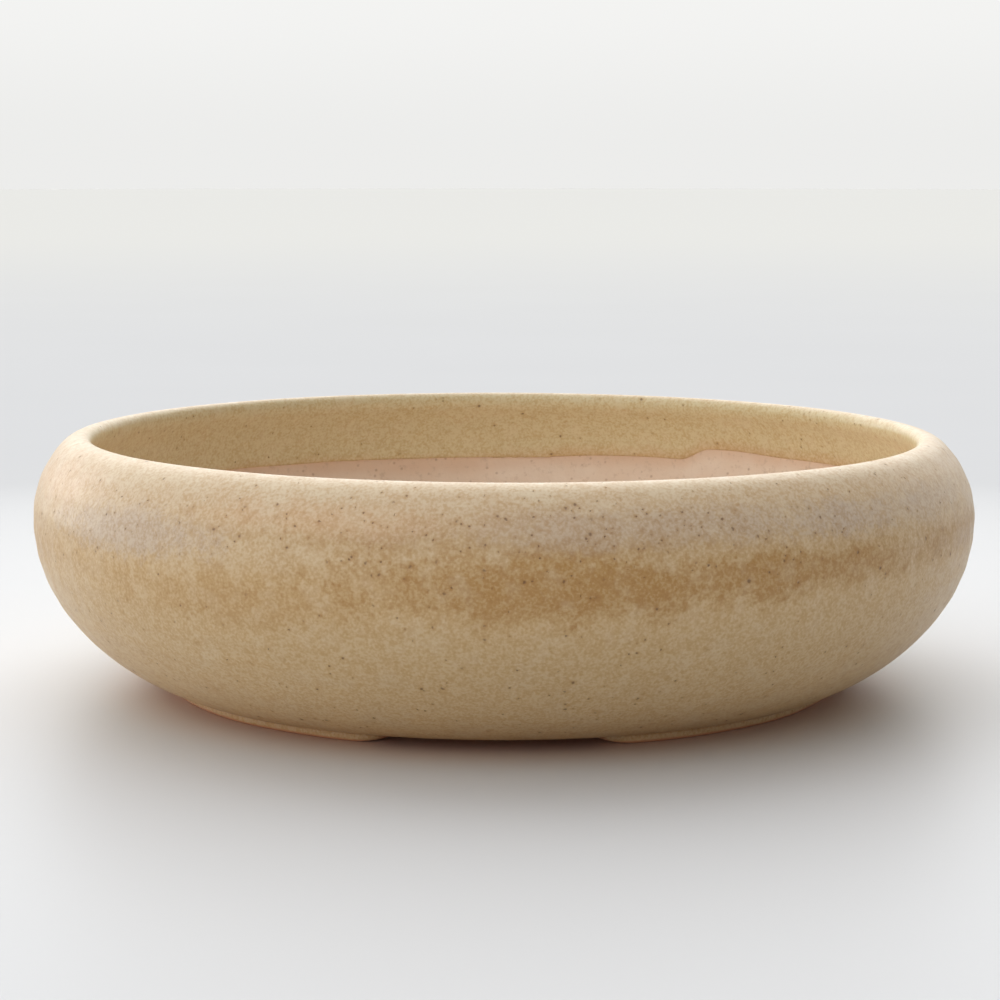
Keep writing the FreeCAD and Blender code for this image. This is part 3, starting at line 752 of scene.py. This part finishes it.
def clayWall():
    # the section swept round, with finger ridges up the inside that stop short of the glaze
    c = clay
    floorTop = floorLevels()[0]
    run, r, z, nr, nz = claySection()
    turn = around(c["around"])
    turns = np.broadcast_to(turn, (len(r), len(turn)))
    row = np.arange(len(r))[:, None]
    inner = row < c["insideRows"] + c["lipRows"] - 1
    low = row >= len(r) - c["underRows"]
    drop = glazeEdge(turn) - z
    wave = c["ridges"] * (0.5 + 0.5 * np.sin(2 * np.pi * (run + c["floorReach"]) / c["ridgePitch"] + turns))
    slow = c["swellings"] * (0.5 + 0.5 * slowWaves(turns, run, 9)) * smoothStep(z, 9, 16)
    onWall = smoothStep(r, c["floorReach"] + 0.01, c["floorReach"] + 3)
    clear = smoothStep(drop, 0.3, 5)
    sunk = inner * (onWall * clear * (wave + slow) + (1 - onWall) * wave)
    newR, newZ = handmade(r - sunk * nr, z - sunk * nz, turns)
    x, y = r * np.sin(turns), -r * np.cos(turns)
    flat = inner & (z <= floorTop + 0.001)
    lift = np.where(z > pot["baseRise"] + 0.01, undersideFace(x, y), 0)
    newR = np.where(flat | low, r, newR)
    newZ = np.where(flat, floorTop + floorFace(x, y), np.where(low, z + lift, newZ))
    fromGlaze = np.where(inner, np.clip(drop, 0, c["farFromGlaze"]), c["farFromGlaze"])
    points = place(newR, newZ, turns).reshape(-1, 3)
    return points, gridFaces(len(r), len(turn), False, True), fromGlaze.ravel()


def floorSector(number):
    # a third of the floor: lines run from the sector's outline to its drain hole, down through it and back
    c = clay
    floorTop, ceiling = floorLevels()
    sixth = c["around"] // 6
    step = 2 * np.pi / c["around"]
    middle = number * 2 * sixth * step
    spoke = c["floorReach"] * np.linspace(1, 0, c["spokes"] + 1)[1:]
    sweep = middle + step * np.arange(-sixth, sixth + 1)
    radii = np.concatenate([np.full(len(sweep), c["floorReach"]), spoke, spoke[::-1][1:]])
    ways = np.concatenate([sweep, np.full(len(spoke), sweep[-1]), np.full(len(spoke) - 1, sweep[0])])
    outline = np.stack([radii * np.sin(ways), -radii * np.cos(ways)], 1)
    hole = c["drainCircle"] * np.array([math.sin(middle), -math.cos(middle)])
    away = outline - hole
    away /= np.hypot(*away.T)[:, None]
    soft, wide = c["drainRounding"], c["drainRadius"]
    bend = np.radians(np.linspace(0, 90, c["cornerRows"]))[1:, None, None]
    corner = hole + away * (wide + soft - soft * np.sin(bend))
    fall = soft * (1 - np.cos(bend[..., 0]))

    def side(count):
        # rows from the outline to the hole's rounded corner, and how far each has fallen
        share = np.linspace(0, 1, count)[:, None, None]
        rows = np.concatenate([outline + (hole + away * (wide + soft) - outline) * share, corner])
        return rows, np.concatenate([np.zeros((count, 1)), fall])

    upper, fallen = side(c["floorRows"])
    lower, risen = side(c["ceilingRows"])
    top = floorTop + floorFace(*np.moveaxis(upper, -1, 0)) - fallen
    bottom = ceiling + undersideFace(*np.moveaxis(lower, -1, 0)) + risen
    rows = np.concatenate([upper, lower[::-1]])
    levels = np.concatenate([top, bottom[::-1]])
    points = np.concatenate([rows, levels[..., None]], -1).reshape(-1, 3)
    return points, gridFaces(len(rows), len(outline), False, True), np.full(len(points), c["farFromGlaze"])


def makeClayBowl():
    parts = [clayWall()] + [floorSector(number) for number in range(3)]
    starts = np.cumsum([0] + [len(part[0]) for part in parts])
    points = np.concatenate([part[0] for part in parts])
    faces = np.concatenate([part[1] + start for part, start in zip(parts, starts)])
    labels = {"fromGlaze": np.concatenate([part[2] for part in parts])}
    makePiece("clayBowl", points, faces, clayMaterial, "clay_bowl", labels)


foot = {
    "middle": 53.2,
    "halfBreadth": 4.0,
    "halfTurn": 38.19,
    "rise": footBox[1][2],
    "softness": 0.62,  # radius of the rounded corners
    "curlUp": 0.55,  # how far the ends lift off the ground
    "wander": 0.22,  # how far the sides bend in and out, slowly and with a finger's marks
    "fingers": 0.12,
    "along": 170,
    "endRows": 18,
    "cornerPoints": 7,
    "places": (60, 180, 300),  # turn of each foot's middle from the front
}


def makeFoot(number, centre):
    # a coil of clay pressed on: a rounded oblong section carried along an arc, its half breadth closing in at
    # both ends as the square root of 1 - e^2, and its underside lifting a little there
    f = foot
    ends = np.sin(np.linspace(0, np.pi / 2, f["endRows"]))
    along = np.linspace(-f["halfTurn"], f["halfTurn"], f["along"])
    beyond = math.degrees(f["halfBreadth"] / f["middle"])
    u = np.concatenate([along[0] - beyond * ends[:0:-1], along, along[-1] + beyond * ends[1:]])
    e = np.clip((np.abs(u) - f["halfTurn"]) / beyond, 0, 1)
    wide = f["halfBreadth"] * np.sqrt(1 - e**2)
    turn = np.radians(centre + u)
    lift = f["curlUp"] * np.clip((np.abs(u) - f["halfTurn"] + 2) / (beyond + 2), 0, 1) ** 2
    tall = f["rise"] - lift
    soft = np.minimum(f["softness"], np.minimum(wide, tall / 2) * 0.98)

    # four rounded corners, one quarter turn each
    quarter = np.repeat(np.arange(4), f["cornerPoints"])[:, None]
    corner = np.tile(np.linspace(0, np.pi / 2, f["cornerPoints"]), 4)[:, None] + quarter * np.pi / 2
    across, upward = np.cos(corner), np.sin(corner)
    sideX = np.where((quarter == 0) | (quarter == 3), 1, -1)
    sideZ = np.where(quarter < 2, 1, -1)
    x = sideX * (wide - soft) + soft * across
    z = (f["rise"] + lift) / 2 + sideZ * (tall / 2 - soft) + soft * upward
    wander = f["wander"] * (0.5 + 0.5 * np.sin(5 * turn + number))
    wander = wander + f["fingers"] * (0.5 + 0.5 * np.sin(17 * turn + 2 * number))
    r = f["middle"] + x - np.sign(x) * wander * wide / f["halfBreadth"]
    points = place(r, z, np.broadcast_to(turn, r.shape)).reshape(-1, 3)
    faces = gridFaces(len(across), len(u), True, False)
    makePiece(f"foot{number}", points, faces, footMaterial, f"foot_{number}")


net = {
    "pitch": 2.9,
    "cells": 8,
    "strand": 0.9,
    "thickness": screenBox[1][2] - screenBox[0][2],
    "corner": 0.4,
    "level": screenBox[0][2],
    "sidePoints": 6,
    "strandRows": 9,
    "places": (0, 120, 240),
}


def squareOutline(count):
    # points on the outline of a square from -1 to 1, this many along each side
    side, edge = np.linspace(-1, 1, count + 1)[:-1], np.ones(count)
    sides = ((side, -edge), (edge, side), (-side, edge), (-edge, -side))
    return np.concatenate([np.stack(pair, 1) for pair in sides])


def makeNet(number, centre):
    # moulded net: each cell is a ring of points on its square outline, carried in to a rounded opening by the
    # sine of a half turn and down by its cosine, so every strand is round; the border is a last half strand
    n = net
    rows = n["strandRows"]
    half, inner = n["pitch"] / 2, n["pitch"] / 2 - n["strand"] / 2
    square = squareOutline(n["sidePoints"])
    core = np.clip(square * inner, -(inner - n["corner"]), inner - n["corner"])
    push = square * inner - core
    opening = core + n["corner"] * push / np.maximum(np.hypot(*push.T), 1e-6)[:, None]
    bend = np.linspace(0, np.pi, rows)[:, None, None]
    level = n["level"] + n["thickness"] * (0.5 + 0.5 * np.cos(bend))
    cell = square * half + (opening - square * half) * np.sin(bend)
    cell = np.concatenate([cell, np.broadcast_to(level, (rows, len(square), 1))], -1)
    steps = (np.arange(n["cells"]) - (n["cells"] - 1) / 2) * n["pitch"]
    across, along = np.meshgrid(steps, steps, indexing="ij")
    centres = np.stack([across.ravel(), along.ravel(), np.zeros(across.size)], 1)
    cells = (cell + centres[:, None, None, :]).reshape(-1, 3)
    starts = cell[..., 0].size * np.arange(len(centres))[:, None, None]
    cellFaces = (gridFaces(rows, len(square), False, True) + starts).reshape(-1, 4)

    # the border's outward way is level on a side and slanted at a corner
    outline = squareOutline(n["sidePoints"] * n["cells"])
    outward = np.where(np.abs(outline) > 1 - 1e-6, np.sign(outline), 0)
    outward /= np.hypot(*outward.T)[:, None]
    border = n["cells"] * half * outline + n["strand"] / 2 * outward * np.sin(bend)
    border = np.concatenate([border, np.broadcast_to(level, (rows, len(outline), 1))], -1).reshape(-1, 3)
    borderFaces = gridFaces(rows, len(outline), False, True) + len(cells)

    x, y, z = np.concatenate([cells, border]).T
    a = math.radians(centre)
    sideways, outwards = np.array([math.cos(a), math.sin(a)]), np.array([math.sin(a), -math.cos(a)])
    laid = x[:, None] * sideways + (y[:, None] + clay["drainCircle"]) * outwards
    points, faces = np.concatenate([laid, z[:, None]], 1), np.concatenate([cellFaces, borderFaces])
    makePiece(f"drainNet{number}", points, faces, netMaterial, f"drain_screen_{number}")


makeGlaze()
print("glaze made")
makeClayBowl()
print("clay bowl made")
for number, centre in enumerate(foot["places"], 1):
    makeFoot(number, centre)
for number, centre in enumerate(net["places"], 1):
    makeNet(number, centre)
for number in (1, 2, 3):
    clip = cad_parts[f"screen_clip_{number}"]
    clip.data.materials.clear()
    clip.data.materials.append(wireMaterial)
print("feet, nets and clips made")


room = {
    "reach": 6.0,  # of the pale paper on the ground, in metres
    "paper": linear(213, 214, 217),
    "paperShade": linear(210, 211, 214),
    "farPaper": linear(221, 221, 219),
    "paintedWarmBounce": linear(242, 200, 172),  # painted bounce light: a warm glow painted on the paper under the pot, standing in for light the clay throws down
    # radii in millimetres over which the painted warm bounce light comes in, the far paper comes in, and the
    # sheen fades
    "paintedWarmBounceReach": (74.0, 42.0),
    "farReach": (300.0, 2500.0),
    "sheenReach": (60.0, 300.0),
    "sheen": 0.3,
    "horizon": 0.845,  # brightness of the backdrop just over the ground
    "higher": 0.055,  # what it gains by the top of the view
    "round": 0.22,  # brightness of the rest of the sky
    "sky": (1.0, 1.0, 0.985, 1.0),
    # soft lights: their way, where they start and are full, and how bright
    "back": ((-0.12, 0.76, 0.64), 0.60, 1.0, 1.6),  # kept off the low backdrop
    "overhead": ((-0.25, -0.10, 0.95), 0.45, 1.0, 0.62),
    "front": ((-0.78, -0.55, 0.30), 0.50, 1.0, 0.68),
    "window": ((-0.80, 0.58, 0.12), 0.93, 0.99, 2.0),
}


def makeRoom():
    # a wide disc of pale paper, with a faint sheen near the pot and a painted warm bounce light under it
    near, far = np.linspace(0, 0.5, 11), np.geomspace(0.6, room["reach"], 12)
    turn = around(96)
    r, turns = np.meshgrid(np.concatenate([near, far]) / mm, turn, indexing="ij")
    g = newMaterial("palePaper")
    radius = turned(g)[2]
    tone = g.mix(g.noise(140, 2, 0.5), room["paper"], room["paperShade"])
    # painted bounce light: the paper turns warm under the pot
    tone = g.mix(g.between(radius, *room["paintedWarmBounceReach"], 0.0, 0.85), tone, room["paintedWarmBounce"])
    tone = g.mix(g.between(radius, *room["farReach"]), tone, room["farPaper"])
    sheen = g.between(radius, *room["sheenReach"], room["sheen"], 0.0)
    grain = g.bump(g.noise(0.9, 2, 0.5), 0.012)
    paper = g.finish(Base_Color=tone, Roughness=0.45, Specular_IOR_Level=sheen, Normal=grain)
    points = place(r, 0 * r, turns).reshape(-1, 3)
    floor = makeObject("studioFloor", points, gridFaces(*r.shape, False, True), paper)
    if floor.data.polygons[0].normal.z < 0:
        floor.data.flip_normals()


def makeSky():
    # a white studio: a pale backdrop with a broad soft light above it, weaker ones overhead and at the front
    # left, and a small window behind on the left
    g = Graph(bpy.data.worlds.new("studio"))
    bpy.context.scene.world = g.owner
    split = g.add("ShaderNodeSeparateXYZ")
    g.feed(split.inputs[0], g.place)
    y, z = split.outputs[1:]

    def glow(way, first, full, bright):
        toward = g.add("ShaderNodeVectorMath", operation="DOT_PRODUCT")
        g.feed(toward.inputs[0], g.place)
        g.feed(toward.inputs[1], Vector(way).normalized())
        return g.between(toward.outputs["Value"], first, full, 0.0, bright)

    light = g.between(y, 0.2, 0.9, room["round"], room["horizon"])
    light = g.math("ADD", light, g.between(z, 0.0, 0.06, 0.0, room["higher"]))
    light = g.math("ADD", light, g.math("MULTIPLY", glow(*room["back"]), g.between(z, 0.058, 0.2)))
    for name in ("overhead", "front", "window"):
        light = g.math("ADD", light, glow(*room[name]))
    g.finish(Color=room["sky"], Strength=light)


lens = {
    "away": 0.450,  # metres; "turn" and "pitch" are in degrees, and "length" in millimetres
    "rise": 0.0903,
    "turn": 1.8,
    "pitch": 7.54,
    "left": 0.00064,
    "length": 94.9,
}


def makeCamera():
    camera = bpy.data.cameras.new("camera")
    camera.lens, camera.sensor_width = lens["length"], 36
    camera.clip_start, camera.clip_end = 0.01, 20
    holder = bpy.data.objects.new("camera", camera)
    turn, pitch = math.radians(lens["turn"]), math.radians(lens["pitch"])
    right = Vector((math.cos(turn), math.sin(turn), 0))
    toward = Vector((-math.sin(turn), math.cos(turn), 0))
    holder.location = Vector((0, 0, lens["rise"])) - lens["away"] * toward - lens["left"] * right
    ahead = math.cos(pitch) * toward - Vector((0, 0, math.sin(pitch)))
    holder.rotation_euler = ahead.to_track_quat("-Z", "Y").to_euler()
    bpy.context.scene.collection.objects.link(holder)
    bpy.context.scene.camera = holder


makeRoom()
makeSky()
makeCamera()
bpy.context.scene.view_settings.view_transform = "Standard"
print("room, lights and camera made")
